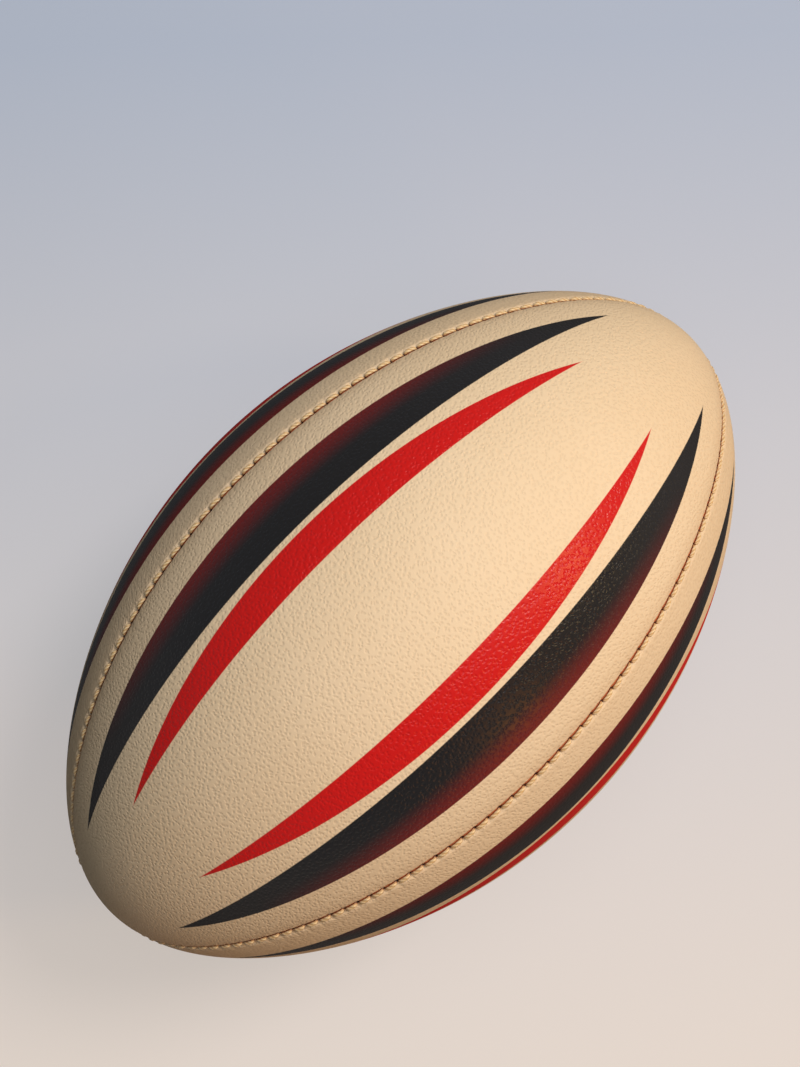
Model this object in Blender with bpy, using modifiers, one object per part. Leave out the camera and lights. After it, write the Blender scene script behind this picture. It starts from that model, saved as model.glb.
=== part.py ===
"""Rugby ball: four stitched panels over two plies, a bladder and a push-in valve.

Metres, +Z up. The long axis is X and the origin is the centre of the ball. The panels face +Z (top),
-Y (front), -Z (bottom) and +Y (back), and the valve is in the middle of the back panel.
"""

import math

import bmesh
import bpy
from mathutils import Vector

# Overall shape
LENGTH = 0.2940
GIRTH_DIAMETER = 0.1850
PROFILE_POWER = 1.85
RINGS = 15
PANEL_FACETS = 7
SHARP_ANGLE = math.radians(30)
MERGE_DISTANCE = 1e-6
TRIM_MERGE = 2e-5
ON_PLANE = 5e-5

# Layers, from the outside in
COVER_THICKNESS = 0.0013
PLY_THICKNESS = 0.0006
BLADDER_THICKNESS = 0.0008
LAYER_GAP = 0.0003

# Panel edges turned in at the seams
SEAM_GAP = 0.0004
EDGE_SETBACK = 0.0012
EDGE_ROLL_DEPTH = 0.0013
FLANGE_CLEARANCE = 0.0007
PLY_CLEARANCE = 0.0004

# Stitching
STITCH_PITCH = 0.0060
THREAD_RADIUS = 0.00048
THREAD_HOLE_RADIUS = 0.00028
THREAD_DEPTH = 0.00040
THREAD_HOLE_DEPTH = 0.00075
THREAD_END_DISTANCE = 0.0026
KNOT_RADIUS = 0.0008
KNOT_SEGMENTS = 10
KNOT_RINGS = 6

# Valve, measured outward from the surface of the back panel
VALVE_NECK_WALL = 0.0010
VALVE_HOLE_CLEARANCE = 0.0003
VALVE_RECESS = 0.0006
VALVE_SEAT_DEPTH = 0.0160
VALVE_FLANGE_RADIUS = 0.0110
VALVE_FLANGE_THICKNESS = 0.0015
CORE_HEAD_RADIUS = 0.0037
CORE_HEAD_HEIGHT = 0.0012
CORE_BODY_RADIUS = 0.0027
CORE_CLEARANCE = 0.0003
CORE_LENGTH = 0.0130
CORE_TIP_CHAMFER = 0.0008
NEEDLE_RADIUS = 0.0009
NEEDLE_DEPTH = 0.0105
SLIT_WIDTH = 0.0004
SLIT_LENGTH = 0.0026
PATCH_RADIUS = 0.0140
VALVE_STEPS = 24
CUTTER_LENGTH = 0.050
SLIT_OVERCUT = 0.0006

HALF_LENGTH = LENGTH / 2
GIRTH_RADIUS = GIRTH_DIAMETER / 2
HALF_FACET = math.pi / 4 / PANEL_FACETS
POLYESTER_DEPTH = COVER_THICKNESS + LAYER_GAP
COTTON_DEPTH = POLYESTER_DEPTH + PLY_THICKNESS + LAYER_GAP
BLADDER_DEPTH = COTTON_DEPTH + PLY_THICKNESS + LAYER_GAP
BLADDER_INNER_DEPTH = BLADDER_DEPTH + BLADDER_THICKNESS

# The flange of a turned-in edge stops short of the bladder, and the plies stop short of the slanted edge
FLANGE_DEPTH = BLADDER_DEPTH - FLANGE_CLEARANCE - EDGE_ROLL_DEPTH
EDGE_RUN = EDGE_SETBACK - SEAM_GAP / 2
EDGE_SLANT = math.hypot(EDGE_ROLL_DEPTH, EDGE_RUN)
EDGE_INNER = EDGE_SETBACK + COVER_THICKNESS * (EDGE_SLANT - EDGE_RUN) / EDGE_ROLL_DEPTH
PLY_SETBACK = EDGE_INNER + PLY_CLEARANCE

# The neck goes round the head of the core, and its flange clears the bladder facets beside the flat one
VALVE_NECK_RADIUS = CORE_HEAD_RADIUS + CORE_CLEARANCE + VALVE_NECK_WALL
FLAT_HALF_WIDTH = (GIRTH_RADIUS - BLADDER_INNER_DEPTH) * math.tan(HALF_FACET)
FLANGE_DROP = max(0.0, VALVE_FLANGE_RADIUS - FLAT_HALF_WIDTH) * math.tan(2 * HALF_FACET)

# Direction of each seam plane at the edge of the top panel, and the panels by turn about X
SEAM_NORMALS = (
    Vector((0.0, math.cos(math.pi / 4), -math.sin(math.pi / 4))),
    Vector((0.0, -math.cos(math.pi / 4), -math.sin(math.pi / 4))),
)
SEAM_DIRECTIONS = (
    Vector((0.0, math.sin(math.pi / 4), math.cos(math.pi / 4))),
    Vector((0.0, -math.sin(math.pi / 4), math.cos(math.pi / 4))),
)
PANEL_TURNS = {
    "top": 0.0,
    "front": math.pi / 2,
    "bottom": math.pi,
    "back": 3 * math.pi / 2,
}
SEAM_TURNS = {
    "top_front": math.pi / 4,
    "front_bottom": 3 * math.pi / 4,
    "bottom_back": 5 * math.pi / 4,
    "back_top": 7 * math.pi / 4,
}


def clear_scene():
    for obj in list(bpy.data.objects):
        bpy.data.objects.remove(obj, do_unlink=True)
    for mesh in list(bpy.data.meshes):
        bpy.data.meshes.remove(mesh)


def material(name, colour, roughness):
    mat = bpy.data.materials.new(name)
    mat.use_nodes = True
    shader = mat.node_tree.nodes["Principled BSDF"]
    shader.inputs["Base Color"].default_value = (*colour, 1.0)
    shader.inputs["Roughness"].default_value = roughness
    mat.diffuse_color = (*colour, 1.0)
    return mat


def add_object(name, data, mat, group):
    obj = bpy.data.objects.new(name, data)
    data.materials.clear()
    data.materials.append(mat)
    group.objects.link(obj)
    return obj


def move_to(obj, name, group):
    """Name a primitive and keep it only in one collection."""
    obj.name = name
    for old in obj.users_collection:
        old.objects.unlink(obj)
    group.objects.link(obj)
    return obj


def profile(depth):
    """Half outline of the ball from the +X end to the -X end, moved inward by a depth."""
    power = 2.0 / PROFILE_POWER
    angles = [math.pi * i / RINGS for i in range(RINGS + 1)]
    widest = math.sin(angles[RINGS // 2]) ** power
    base = []
    for angle in angles:
        along = math.cos(angle)
        x = HALF_LENGTH * math.copysign(abs(along) ** power, along)
        base.append(Vector((x, GIRTH_RADIUS * max(math.sin(angle), 0.0) ** power / widest)))
    base[0].y = 0.0
    base[-1].y = 0.0
    before = Vector((base[1].x, -base[1].y))
    after = Vector((base[-2].x, -base[-2].y))
    line = [before] + base + [after]
    moved = []
    for i in range(1, len(line) - 1):
        first = (line[i] - line[i - 1]).normalized()
        second = (line[i + 1] - line[i]).normalized()
        inward_a = Vector((-first.y, first.x))
        inward_b = Vector((-second.y, second.x))
        mitre = (inward_a + inward_b) / (1.0 + inward_a.dot(inward_b))
        moved.append(line[i] + mitre * depth)
    moved[0].y = 0.0
    moved[-1].y = 0.0
    return moved


def inward(point, direction):
    """Direction into the ball at a point whose radius lies along a given direction."""
    radius = max(Vector((0.0, point.y, point.z)).length, MERGE_DISTANCE)
    gx = math.copysign(abs(point.x) ** (PROFILE_POWER - 1), point.x) / HALF_LENGTH ** PROFILE_POWER
    gr = radius ** (PROFILE_POWER - 1) / GIRTH_RADIUS ** PROFILE_POWER
    return -(Vector((gx, 0.0, 0.0)) + gr * direction).normalized()


def spun_surface(depth, start, angle, steps):
    """Outline at a depth, spun about the long axis."""
    bm = bmesh.new()
    verts = []
    for point in profile(depth):
        radius = point.y / math.cos(HALF_FACET)
        verts.append(bm.verts.new((point.x, radius * math.sin(start), radius * math.cos(start))))
    edges = [bm.edges.new(pair) for pair in zip(verts, verts[1:])]
    bmesh.ops.spin(
        bm,
        geom=verts + edges,
        cent=(0.0, 0.0, 0.0),
        axis=(-1.0, 0.0, 0.0),
        angle=angle,
        steps=steps,
        use_duplicate=False,
    )
    bmesh.ops.remove_doubles(bm, verts=bm.verts, dist=MERGE_DISTANCE)
    bmesh.ops.recalc_face_normals(bm, faces=bm.faces)
    if sum(f.normal.dot(f.calc_center_median()) for f in bm.faces) < 0:
        bmesh.ops.reverse_faces(bm, faces=bm.faces)
    return bm


def gore(depth, setback):
    """Quarter of the outline surface facing +Z, trimmed back from both seam planes."""
    bm = spun_surface(depth, -math.pi / 4, math.pi / 2, PANEL_FACETS)
    for normal in SEAM_NORMALS:
        bmesh.ops.bisect_plane(
            bm,
            geom=bm.verts[:] + bm.edges[:] + bm.faces[:],
            dist=MERGE_DISTANCE / 10,
            plane_co=normal * -setback,
            plane_no=normal,
            clear_outer=True,
        )
    bmesh.ops.remove_doubles(bm, verts=bm.verts, dist=TRIM_MERGE)
    return bm


def turn_in_edge(bm, sideways, depth, setback):
    """Extrude the boundary towards the seam planes and into the ball."""
    edges = [e for e in bm.edges if e.is_boundary]
    made = bmesh.ops.extrude_edge_only(bm, edges=edges)
    for vert in [g for g in made["geom"] if isinstance(g, bmesh.types.BMVert)]:
        shift = Vector()
        direction = Vector()
        for normal, seam in zip(SEAM_NORMALS, SEAM_DIRECTIONS):
            if abs(normal.dot(vert.co) + setback) < ON_PLANE:
                shift += normal * sideways
                direction += seam
        vert.co += shift + inward(vert.co, direction.normalized()) * depth


def finish_mesh(bm, name):
    bmesh.ops.recalc_face_normals(bm, faces=bm.faces)
    if sum(f.normal.dot(f.calc_center_median()) for f in bm.faces) < 0:
        bmesh.ops.reverse_faces(bm, faces=bm.faces)
    mesh = bpy.data.meshes.new(name)
    bm.to_mesh(mesh)
    bm.free()
    mesh.shade_smooth()
    mesh.set_sharp_from_angle(angle=SHARP_ANGLE)
    return mesh


def panel_mesh():
    bm = gore(0.0, EDGE_SETBACK)
    turn_in_edge(bm, EDGE_RUN, EDGE_ROLL_DEPTH, EDGE_SETBACK)
    turn_in_edge(bm, 0.0, FLANGE_DEPTH, SEAM_GAP / 2)
    return finish_mesh(bm, "cover_panel")


def solidify(obj, thickness):
    mod = obj.modifiers.new("thickness", "SOLIDIFY")
    mod.thickness = thickness
    mod.offset = -1.0
    mod.use_even_offset = True
    mod.use_quality_normals = True


def boolean(obj, cutter, operation):
    mod = obj.modifiers.new(cutter.name, "BOOLEAN")
    mod.object = cutter
    mod.operation = operation
    mod.solver = "EXACT"


def cutter_cylinder(name, radius, group):
    bpy.ops.mesh.primitive_cylinder_add(
        vertices=VALVE_STEPS,
        radius=radius,
        depth=CUTTER_LENGTH,
        location=(0.0, GIRTH_RADIUS, 0.0),
        rotation=(math.pi / 2, 0.0, 0.0),
    )
    return as_cutter(bpy.context.object, name, group)


def as_cutter(obj, name, group):
    move_to(obj, name, group)
    obj.hide_render = True
    obj.display_type = "WIRE"
    return obj


def turned(name, points, closed, mat, group):
    """Profile of radius and height turned about its own Z, then laid along +Y at the valve."""
    mesh = bpy.data.meshes.new(name)
    count = len(points)
    edges = [(i, i + 1) for i in range(count - 1)]
    if closed:
        edges.append((count - 1, 0))
    mesh.from_pydata([(r, 0.0, z) for r, z in points], edges, [])
    obj = add_object(name, mesh, mat, group)
    mod = obj.modifiers.new("turn", "SCREW")
    mod.axis = "Z"
    mod.angle = 2 * math.pi
    mod.steps = VALVE_STEPS
    mod.render_steps = VALVE_STEPS
    mod.use_merge_vertices = True
    mod.merge_threshold = 0.00001
    mod.use_smooth_shade = True
    obj.location = (0.0, GIRTH_RADIUS, 0.0)
    obj.rotation_euler = (-math.pi / 2, 0.0, 0.0)
    return obj


def point_along(line, distance):
    for start, end in zip(line, line[1:]):
        step = (end - start).length
        if distance <= step:
            return start.lerp(end, distance / step)
        distance -= step
    return line[-1].copy()


def seam_thread(name, turn, mat, group):
    """One run of stitches in the groove of a seam, thinner and deeper at each stitch hole."""
    line = profile(0.0)
    length = sum((b - a).length for a, b in zip(line, line[1:]))
    sewn = length - 2 * THREAD_END_DISTANCE
    stitches = round(sewn / STITCH_PITCH)
    curve = bpy.data.curves.new(name, "CURVE")
    curve.dimensions = "3D"
    curve.bevel_depth = 1.0
    curve.bevel_resolution = 0
    curve.use_fill_caps = True
    spline = curve.splines.new("POLY")
    spline.points.add(2 * stitches)
    for i, point in enumerate(spline.points):
        hole = i % 2 == 0
        spot = point_along(line, THREAD_END_DISTANCE + sewn * i / (2 * stitches))
        radius = spot.y / math.cos(HALF_FACET)
        place = Vector((spot.x, 0.0, radius))
        depth = THREAD_HOLE_DEPTH if hole else THREAD_DEPTH
        place += inward(place, Vector((0.0, 0.0, 1.0))) * depth
        point.co = (*place, 1.0)
        point.radius = THREAD_HOLE_RADIUS if hole else THREAD_RADIUS
    obj = add_object(name, curve, mat, group)
    obj.rotation_euler = (turn, 0.0, 0.0)
    return obj


def build():
    clear_scene()
    scene = bpy.context.scene
    group = bpy.data.collections.new("rugby_ball")
    cutters = bpy.data.collections.new("cutters")
    scene.collection.children.link(group)
    scene.collection.children.link(cutters)

    root = bpy.data.objects.new("rugby_ball_origin", None)
    group.objects.link(root)
    parts = []

    neck_hole = cutter_cylinder("neck_hole", VALVE_NECK_RADIUS + VALVE_HOLE_CLEARANCE, cutters)
    patch_disc = cutter_cylinder("patch_disc", PATCH_RADIUS, cutters)
    patch_hole = cutter_cylinder("patch_hole", PATCH_RADIUS + LAYER_GAP, cutters)

    # Four cover panels and the two plies under each
    plies = (
        ("polyester_ply", POLYESTER_DEPTH, (0.86, 0.86, 0.84)),
        ("cotton_ply", COTTON_DEPTH, (0.78, 0.72, 0.58)),
    )
    for side, turn in PANEL_TURNS.items():
        cover = material("synthetic_leather_" + side, (0.80, 0.74, 0.60), 0.5)
        panel = add_object("cover_panel_" + side, panel_mesh(), cover, group)
        panel.rotation_euler = (turn, 0.0, 0.0)
        solidify(panel, COVER_THICKNESS)
        parts.append(panel)
        if side == "back":
            boolean(panel, neck_hole, "DIFFERENCE")
        for kind, depth, colour in plies:
            cloth = material(kind + "_cloth_" + side, colour, 0.8)
            ply = add_object(kind + "_" + side, finish_mesh(gore(depth, PLY_SETBACK), kind), cloth, group)
            ply.rotation_euler = (turn, 0.0, 0.0)
            solidify(ply, PLY_THICKNESS)
            parts.append(ply)
            if side == "back":
                boolean(ply, neck_hole if kind == "polyester_ply" else patch_hole, "DIFFERENCE")

    # Canvas disc let into the cotton ply round the valve
    canvas = material("valve_canvas", (0.55, 0.50, 0.40), 0.85)
    patch = add_object("valve_patch", finish_mesh(gore(COTTON_DEPTH, PLY_SETBACK), "patch"), canvas, group)
    patch.rotation_euler = (PANEL_TURNS["back"], 0.0, 0.0)
    solidify(patch, PLY_THICKNESS)
    boolean(patch, patch_disc, "INTERSECT")
    boolean(patch, neck_hole, "DIFFERENCE")
    parts.append(patch)

    # Bladder, open where the valve neck passes
    bladder_rubber = material("bladder_rubber", (0.10, 0.10, 0.11), 0.6)
    blank = spun_surface(BLADDER_DEPTH, -math.pi / 4, 2 * math.pi, 4 * PANEL_FACETS)
    bladder = add_object("bladder", finish_mesh(blank, "bladder"), bladder_rubber, group)
    solidify(bladder, BLADDER_THICKNESS)
    boolean(bladder, neck_hole, "DIFFERENCE")
    parts.append(bladder)

    # Stitching and the knots at both ends
    for seam, turn in SEAM_TURNS.items():
        thread = material("waxed_thread_" + seam, (0.83, 0.76, 0.62), 0.7)
        parts.append(seam_thread("seam_thread_" + seam, turn, thread, group))
    for name, end in (("left", -1.0), ("right", 1.0)):
        knot_thread = material("knot_thread_" + name, (0.83, 0.76, 0.62), 0.7)
        bpy.ops.mesh.primitive_uv_sphere_add(
            segments=KNOT_SEGMENTS,
            ring_count=KNOT_RINGS,
            radius=KNOT_RADIUS,
            location=(end * (HALF_LENGTH - KNOT_RADIUS / 2), 0.0, 0.0),
        )
        knot = move_to(bpy.context.object, "end_knot_" + name, group)
        knot.data.shade_smooth()
        knot.data.materials.append(knot_thread)
        parts.append(knot)

    # Valve seat: a neck through the wall with a flange inside the bladder and a stepped bore
    seat_rubber = material("valve_seat_rubber", (0.12, 0.12, 0.13), 0.55)
    seat_top = -VALVE_RECESS
    flange_top = -BLADDER_INNER_DEPTH - LAYER_GAP - FLANGE_DROP
    flange_bottom = flange_top - VALVE_FLANGE_THICKNESS
    seat_bottom = seat_top - VALVE_SEAT_DEPTH
    head_bore = CORE_HEAD_RADIUS + CORE_CLEARANCE
    body_bore = CORE_BODY_RADIUS + CORE_CLEARANCE
    step = seat_top - CORE_HEAD_HEIGHT - 2 * CORE_CLEARANCE
    seat_outline = [
        (head_bore, seat_top),
        (VALVE_NECK_RADIUS, seat_top),
        (VALVE_NECK_RADIUS, flange_top),
        (VALVE_FLANGE_RADIUS, flange_top),
        (VALVE_FLANGE_RADIUS, flange_bottom),
        (VALVE_NECK_RADIUS, flange_bottom),
        (VALVE_NECK_RADIUS, seat_bottom),
        (body_bore, seat_bottom),
        (body_bore, step),
        (head_bore, step),
    ]
    parts.append(turned("valve_seat", seat_outline, True, seat_rubber, group))

    # Valve core: a headed plug with a blind needle passage that ends in a slit
    core_rubber = material("valve_core_rubber", (0.05, 0.05, 0.05), 0.5)
    core_top = seat_top - CORE_CLEARANCE
    core_bottom = core_top - CORE_LENGTH
    needle_bottom = core_top - NEEDLE_DEPTH
    core_outline = [
        (0.0, needle_bottom),
        (NEEDLE_RADIUS, needle_bottom),
        (NEEDLE_RADIUS, core_top),
        (CORE_HEAD_RADIUS, core_top),
        (CORE_HEAD_RADIUS, core_top - CORE_HEAD_HEIGHT),
        (CORE_BODY_RADIUS, core_top - CORE_HEAD_HEIGHT),
        (CORE_BODY_RADIUS, core_bottom + CORE_TIP_CHAMFER),
        (CORE_BODY_RADIUS - CORE_TIP_CHAMFER, core_bottom),
        (0.0, core_bottom),
    ]
    core = turned("valve_core", core_outline, False, core_rubber, group)
    bpy.ops.mesh.primitive_cube_add(
        size=1.0,
        location=(0.0, GIRTH_RADIUS + (needle_bottom + core_bottom) / 2, 0.0),
        scale=(SLIT_LENGTH, CORE_LENGTH - NEEDLE_DEPTH + 2 * SLIT_OVERCUT, SLIT_WIDTH),
    )
    slit = as_cutter(bpy.context.object, "needle_slit", cutters)
    boolean(core, slit, "DIFFERENCE")
    parts.append(core)

    for obj in parts:
        obj.parent = root


build()
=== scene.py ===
"""Looks of the rugby ball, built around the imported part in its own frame: metres, +Z up, long axis X.

Four grained panels with rolled, puckered edges lie over woven plies and a bladder. Each seam holds a run of
single stitches that crosses over at both ends, and the push-in valve sits in the middle of the back panel.
"""

import math

import bpy
import numpy as np
from mathutils import Euler, Matrix, Vector


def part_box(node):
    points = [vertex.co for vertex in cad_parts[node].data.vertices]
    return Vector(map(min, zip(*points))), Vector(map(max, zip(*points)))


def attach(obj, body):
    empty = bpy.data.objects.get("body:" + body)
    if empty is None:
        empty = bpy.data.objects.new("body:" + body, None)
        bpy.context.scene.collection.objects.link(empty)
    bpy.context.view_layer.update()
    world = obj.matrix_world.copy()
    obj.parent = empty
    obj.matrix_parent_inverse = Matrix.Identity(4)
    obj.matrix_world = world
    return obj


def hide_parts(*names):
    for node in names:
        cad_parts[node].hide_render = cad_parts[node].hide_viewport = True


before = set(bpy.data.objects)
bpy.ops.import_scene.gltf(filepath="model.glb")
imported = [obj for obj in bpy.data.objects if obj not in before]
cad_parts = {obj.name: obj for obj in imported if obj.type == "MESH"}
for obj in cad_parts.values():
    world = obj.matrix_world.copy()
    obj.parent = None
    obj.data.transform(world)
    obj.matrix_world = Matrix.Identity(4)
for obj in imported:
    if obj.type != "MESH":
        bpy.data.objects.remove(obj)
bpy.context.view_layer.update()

# Overall shape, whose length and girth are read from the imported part
TOP_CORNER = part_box("cover_panel_top")[1]
HALF_LENGTH = TOP_CORNER.x
GIRTH_RADIUS = TOP_CORNER.z
SHOULDER_SLIMMING = 0.118
TIP_RADIUS = 0.0010
TIP_CURVE = (GIRTH_RADIUS * (1 - SHOULDER_SLIMMING)) ** 2 / HALF_LENGTH
OUTLINE_POINTS = 6001

# Panels by their turn about the long axis, and the seams between them with the side that the stitches lie on
PANEL_TURNS = {"top": 0.0, "front": math.pi / 2, "bottom": math.pi, "back": 3 * math.pi / 2}
SEAMS = {
    "top_front": (math.pi / 4, -1),
    "front_bottom": (3 * math.pi / 4, 1),
    "bottom_back": (5 * math.pi / 4, -1),
    "back_top": (7 * math.pi / 4, 1),
}

# Layers from the outside in
COVER_THICKNESS = 0.0013
PLY_THICKNESS = 0.0006
BLADDER_THICKNESS = 0.0008
LAYER_GAP = 0.0003
POLYESTER_DEPTH = COVER_THICKNESS + LAYER_GAP
COTTON_DEPTH = POLYESTER_DEPTH + PLY_THICKNESS + LAYER_GAP
BLADDER_DEPTH = COTTON_DEPTH + PLY_THICKNESS + LAYER_GAP

# Panel edges: top and bottom roll straight down into the seam,
# front and back run as a ledge under the stitches and then swell up
OVER_PANELS = ("top", "bottom")
SEAM_HALF_GAP = 0.00015
OVER_ROLL = 0.0014
LEDGE_WIDTH = 0.0012
LEDGE_DEPTH = 0.00090
LEDGE_STEPS = 3
SWELL_WIDTH = 0.0016
EDGE_BOTTOM = 0.0030
PILLOW_DEPTH = 0.00035
PILLOW_REACH = 0.0035
OVER_PLY_SETBACK = 0.0032
UNDER_PLY_SETBACK = 0.0046

# Below this radius of the ball an edge shrinks towards the tip,
# and the sine of the angle that it takes up is limited, so that some panel is left between two edges
EDGE_FULL_RADIUS = 0.016
EDGE_SINE_LIMIT = 0.69

# Stitches, lying to one side of the seam
STITCHES = 74
STITCH_LENGTH_SHARE = 1.08
THREAD_RADIUS = 0.00070
THREAD_SIDES = 8
THREAD_CUTS = 5
THREAD_TAPER = 0.70
THREAD_MID_DEPTH = 0.00060
THREAD_END_DEPTH = 0.00180
THREAD_DIVE_POWER = 4
THREAD_OFFSET = 0.00100
THREAD_SLANT = 0.00028
THREAD_SWAY = 0.12 * THREAD_RADIUS
CROSSING_LIFT = 0.0007
CROSSING_REACH = 0.35

# Pucker that the stitches pull into the two kinds of edge
OVER_PUCKER = 0.00016
UNDER_PUCKER = 0.00055
PUCKER_REACH = 0.0026
PUCKER_SHARPNESS = 5.0
PUCKER_WOBBLE = 0.20

# Golden angle, which varies stitches and puckers without a repeat
STRAY = 2.39996

# Mesh density
ROWS_PER_STITCH = 8
HOLE_CROWDING = 0.45
ROLL_STEPS = 8
CENTRE_COLUMNS = 18
CENTRE_CROWDING = 1.25
PLY_ROWS = 120
PLY_COLUMNS = 14
BLADDER_SEGMENTS = 96
BLADDER_RINGS = 64
LATHE_STEPS = 64

# Small sizes for making meshes: a plane that is merged to one point, how near two points count as one,
# and how near its axis a point of the unit sphere counts as a pole
START_PLANE = 0.001
MERGE_DISTANCE = 1e-6
POLE_RADIUS = 1e-4

# Valve, along +Y from the ball's centre
SEAT_LOW, SEAT_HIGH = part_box("valve_seat")
CORE_LOW, CORE_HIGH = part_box("valve_core")
VALVE_HOLE_RADIUS = 0.0053
VALVE_NECK_RADIUS = 0.0050
VALVE_FLANGE_THICKNESS = 0.0015
VALVE_FLANGE_TOP = 0.08776
HEAD_BORE_RADIUS = 0.0040
BODY_BORE_RADIUS = 0.0030
BORE_STEP = 0.0018
CORE_HEAD_HEIGHT = 0.0012
CORE_BODY_RADIUS = 0.0027
CORE_TIP_CHAMFER = 0.0008
NEEDLE_RADIUS = 0.0009
NEEDLE_DEPTH = 0.0105
NEEDLE_FUNNEL = 0.0005
SLIT_LENGTH = 0.0026
SLIT_WIDTH = 0.0004
SLIT_OVERCUT = 1.5
RUBBER_ROUNDING = 0.00025
ROUNDING_STEPS = 3
ROUNDED_ANGLE = math.radians(40)
SMOOTHED_ANGLE = math.radians(50)
VALVE_DIMPLE_DEPTH = 0.0005
VALVE_DIMPLE_REACH = 0.0090
PATCH_RADIUS = 0.0140
CUTTER_LENGTH = 0.05

# Camera: ball centre in the 800 x 1067 picture, focal length in its pixels,
# and the ball's turn to the line of sight
IMAGE_WIDTH = 800
IMAGE_HEIGHT = 1067
BALL_PIXEL = (402.3, 619.0)
FOCAL_PIXELS = 1151.0
CAMERA_DISTANCE = 0.423
BALL_TURN = Euler((math.radians(-2.36), math.radians(-1.35), math.radians(44.70)))
SENSOR_MM = 36.0
NEAREST_SEEN = 0.01

# Lamps: direction to the picture's right, top and viewer, distance, diameter, watts and colour
LAMPS = {
    "key_softbox": ((0.48, 0.42, 0.77), 2.0, 0.60, 19.4, "#FFF0E8"),
    "front_softbox": ((0.16, 0.16, 0.97), 0.50, 0.36, 0.96, "#F0F0F8"),
    "side_softbox": ((0.75, 0.06, 0.65), 2.0, 0.30, 6.6, "#FFD48C"),
    "warm_softbox": ((0.64, -0.58, 0.48), 2.0, 0.50, 4.6, "#FFA040"),
}
ROOM_COLOUR = "#F0E2CC"
ROOM_LEVEL = 0.045
BACKDROP = "#AEB5C1"

# Graduated studio paper on the floor, with its two ends along the picture's upright
PAPER_NEAR = "#F0E8E0"
PAPER_FAR = "#B9C4D6"
PAPER_NEAR_PLACE = -0.20
PAPER_FAR_PLACE = 0.27
PAPER_IN_BOUNCE = "#62574A"
PAPER_GLOW = 0.58
PAPER_ROUGHNESS = 0.8
PAPER_SPECULAR = 0.2
FLOOR_SIZE = 40.0

# Leather and its ink
CREAM_LIGHT = "#F1DEBB"
CREAM_DEEP = "#E9D3AC"
# Brown of the painted shade in the pits and of the darkening by the seam
PIT_SHADE_AND_SEAM_BROWN = "#A87C48"
# Red-brown painted as the warm shade in the seam's groove
SEAM_GROOVE_SHADE = "#C2602F"
BLACK_INK = "#15120F"
MAROON_INK = "#6A1511"
RED_INK = "#CE1611"
LEATHER_IOR = 1.48
LEATHER_SPECULAR = 0.30
BARE_ROUGHNESS = 0.68
INK_ROUGHNESS = 0.26
GRAZED_INK_ROUGHNESS = 0.85
WRINKLE_ROUGHNESS = 0.10

# Gloss of the ink falls off between these two facings, where 0 is seen square on and 1 edge on
GRAZING_START = 0.20
GRAZING_FULL = 0.60

# Embossed grain: pits and their waver in millimetres on the skin,
# the floor and rim of a pit as shares of the spacing, and the rest in metres or as shares
PIT_SPACING_MM = 1.4
PIT_FLOOR = 0.08
PIT_RIM = 0.50
# Share of brown painted as shade in the pits
PIT_SHADE = 0.07
WAVER_SIZE_MM = 2.2
WAVER_SHIFT_MM = 1.6
WRINKLE_SIZE = 0.0006
WRINKLE_HEIGHT = 0.35
MOTTLE_SIZE = 0.045
GRAIN_DEPTH = 0.00010

# Darkening along the seam and painted shade in its groove: millimetres from the seam where each starts and
# where it is full, and its share there
SEAM_DARKENING_START_MM = 7.0
SEAM_DARKENING_FULL_MM = 1.0
SEAM_DARKENING_SHARE = 0.30
# Painted shade in the seam's groove
GROOVE_SHADE_START_MM = 1.4
GROOVE_SHADE_FULL_MM = 0.9
GROOVE_SHADE_SHARE = 0.95

# Printed bands in millimetres: half length, distance of the middle from the seam,
# how far that distance bows at the ends, and half width
DARK_BAND_MM = (132.0, 24.0, -9.0, 9.5)
RED_BAND_MM = (104.0, 41.5, -6.0, 6.0)
PRINT_EDGE_MM = 0.12

# Maroon glow on the dark band: squared shares of the half length where it is gone and where it is full,
# its share there, and the share of the half width past the middle where it starts
GLOW_GONE = 0.55
GLOW_FULL = 0.05
GLOW_SHARE = 0.95
GLOW_START = 0.1

# Thread: pale plies, with painted shade, red-brown and then dark, by how many millimetres it lies under the
# leather
THREAD_LIGHT = "#F3DCAA"
THREAD_SHADE = "#D2AC72"
THREAD_SUNK_SHADE = "#9A5A2A"
THREAD_HOLE_SHADE = "#26150E"
SUNK_SHADE_START_MM = 0.55
SUNK_SHADE_FULL_MM = 1.0
HOLE_SHADE_START_MM = 0.90
HOLE_SHADE_FULL_MM = 1.2
THREAD_PLIES = 3
PLIES_ALONG_STITCH = 3
THREAD_PLY_DEPTH = 0.00015
THREAD_PLY_STRENGTH = 0.6
THREAD_ROUGHNESS = 0.5

# Cloths by their light and dark colours and thread spacing in millimetres
POLYESTER_CLOTH = ("#DADAD4", "#A9A9A2", 0.5)
COTTON_CLOTH = ("#CDBE98", "#94835F", 0.7)
CANVAS_CLOTH = ("#9A8B6C", "#5F5440", 1.0)
WEAVE_DEPTH = 0.0003
WEAVE_STRENGTH = 0.4
CLOTH_ROUGHNESS = 0.85

# Rubbers by their light and dark colours and roughness
BLADDER_RUBBER = ("#2E2E31", "#19191B", 0.55)
BOSS_RUBBER = ("#35353A", "#1E1E21", 0.50)
PLUG_RUBBER = ("#1B1B1D", "#0C0C0D", 0.42)
BLOOM_SIZE = 0.004
MOULD_GRAIN_SIZE = 0.0004
MOULD_GRAIN_DEPTH = 0.0001
MOULD_GRAIN_STRENGTH = 0.25

# Millimetres in a metre
MM = 1000.0


def select_only(obj):
    for other in bpy.context.selected_objects:
        other.select_set(False)
    if obj:
        obj.select_set(True)
        bpy.context.view_layer.objects.active = obj


def apply_modifiers(obj):
    select_only(obj)
    for modifier in list(obj.modifiers):
        bpy.ops.object.modifier_apply(modifier=modifier.name)


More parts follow.
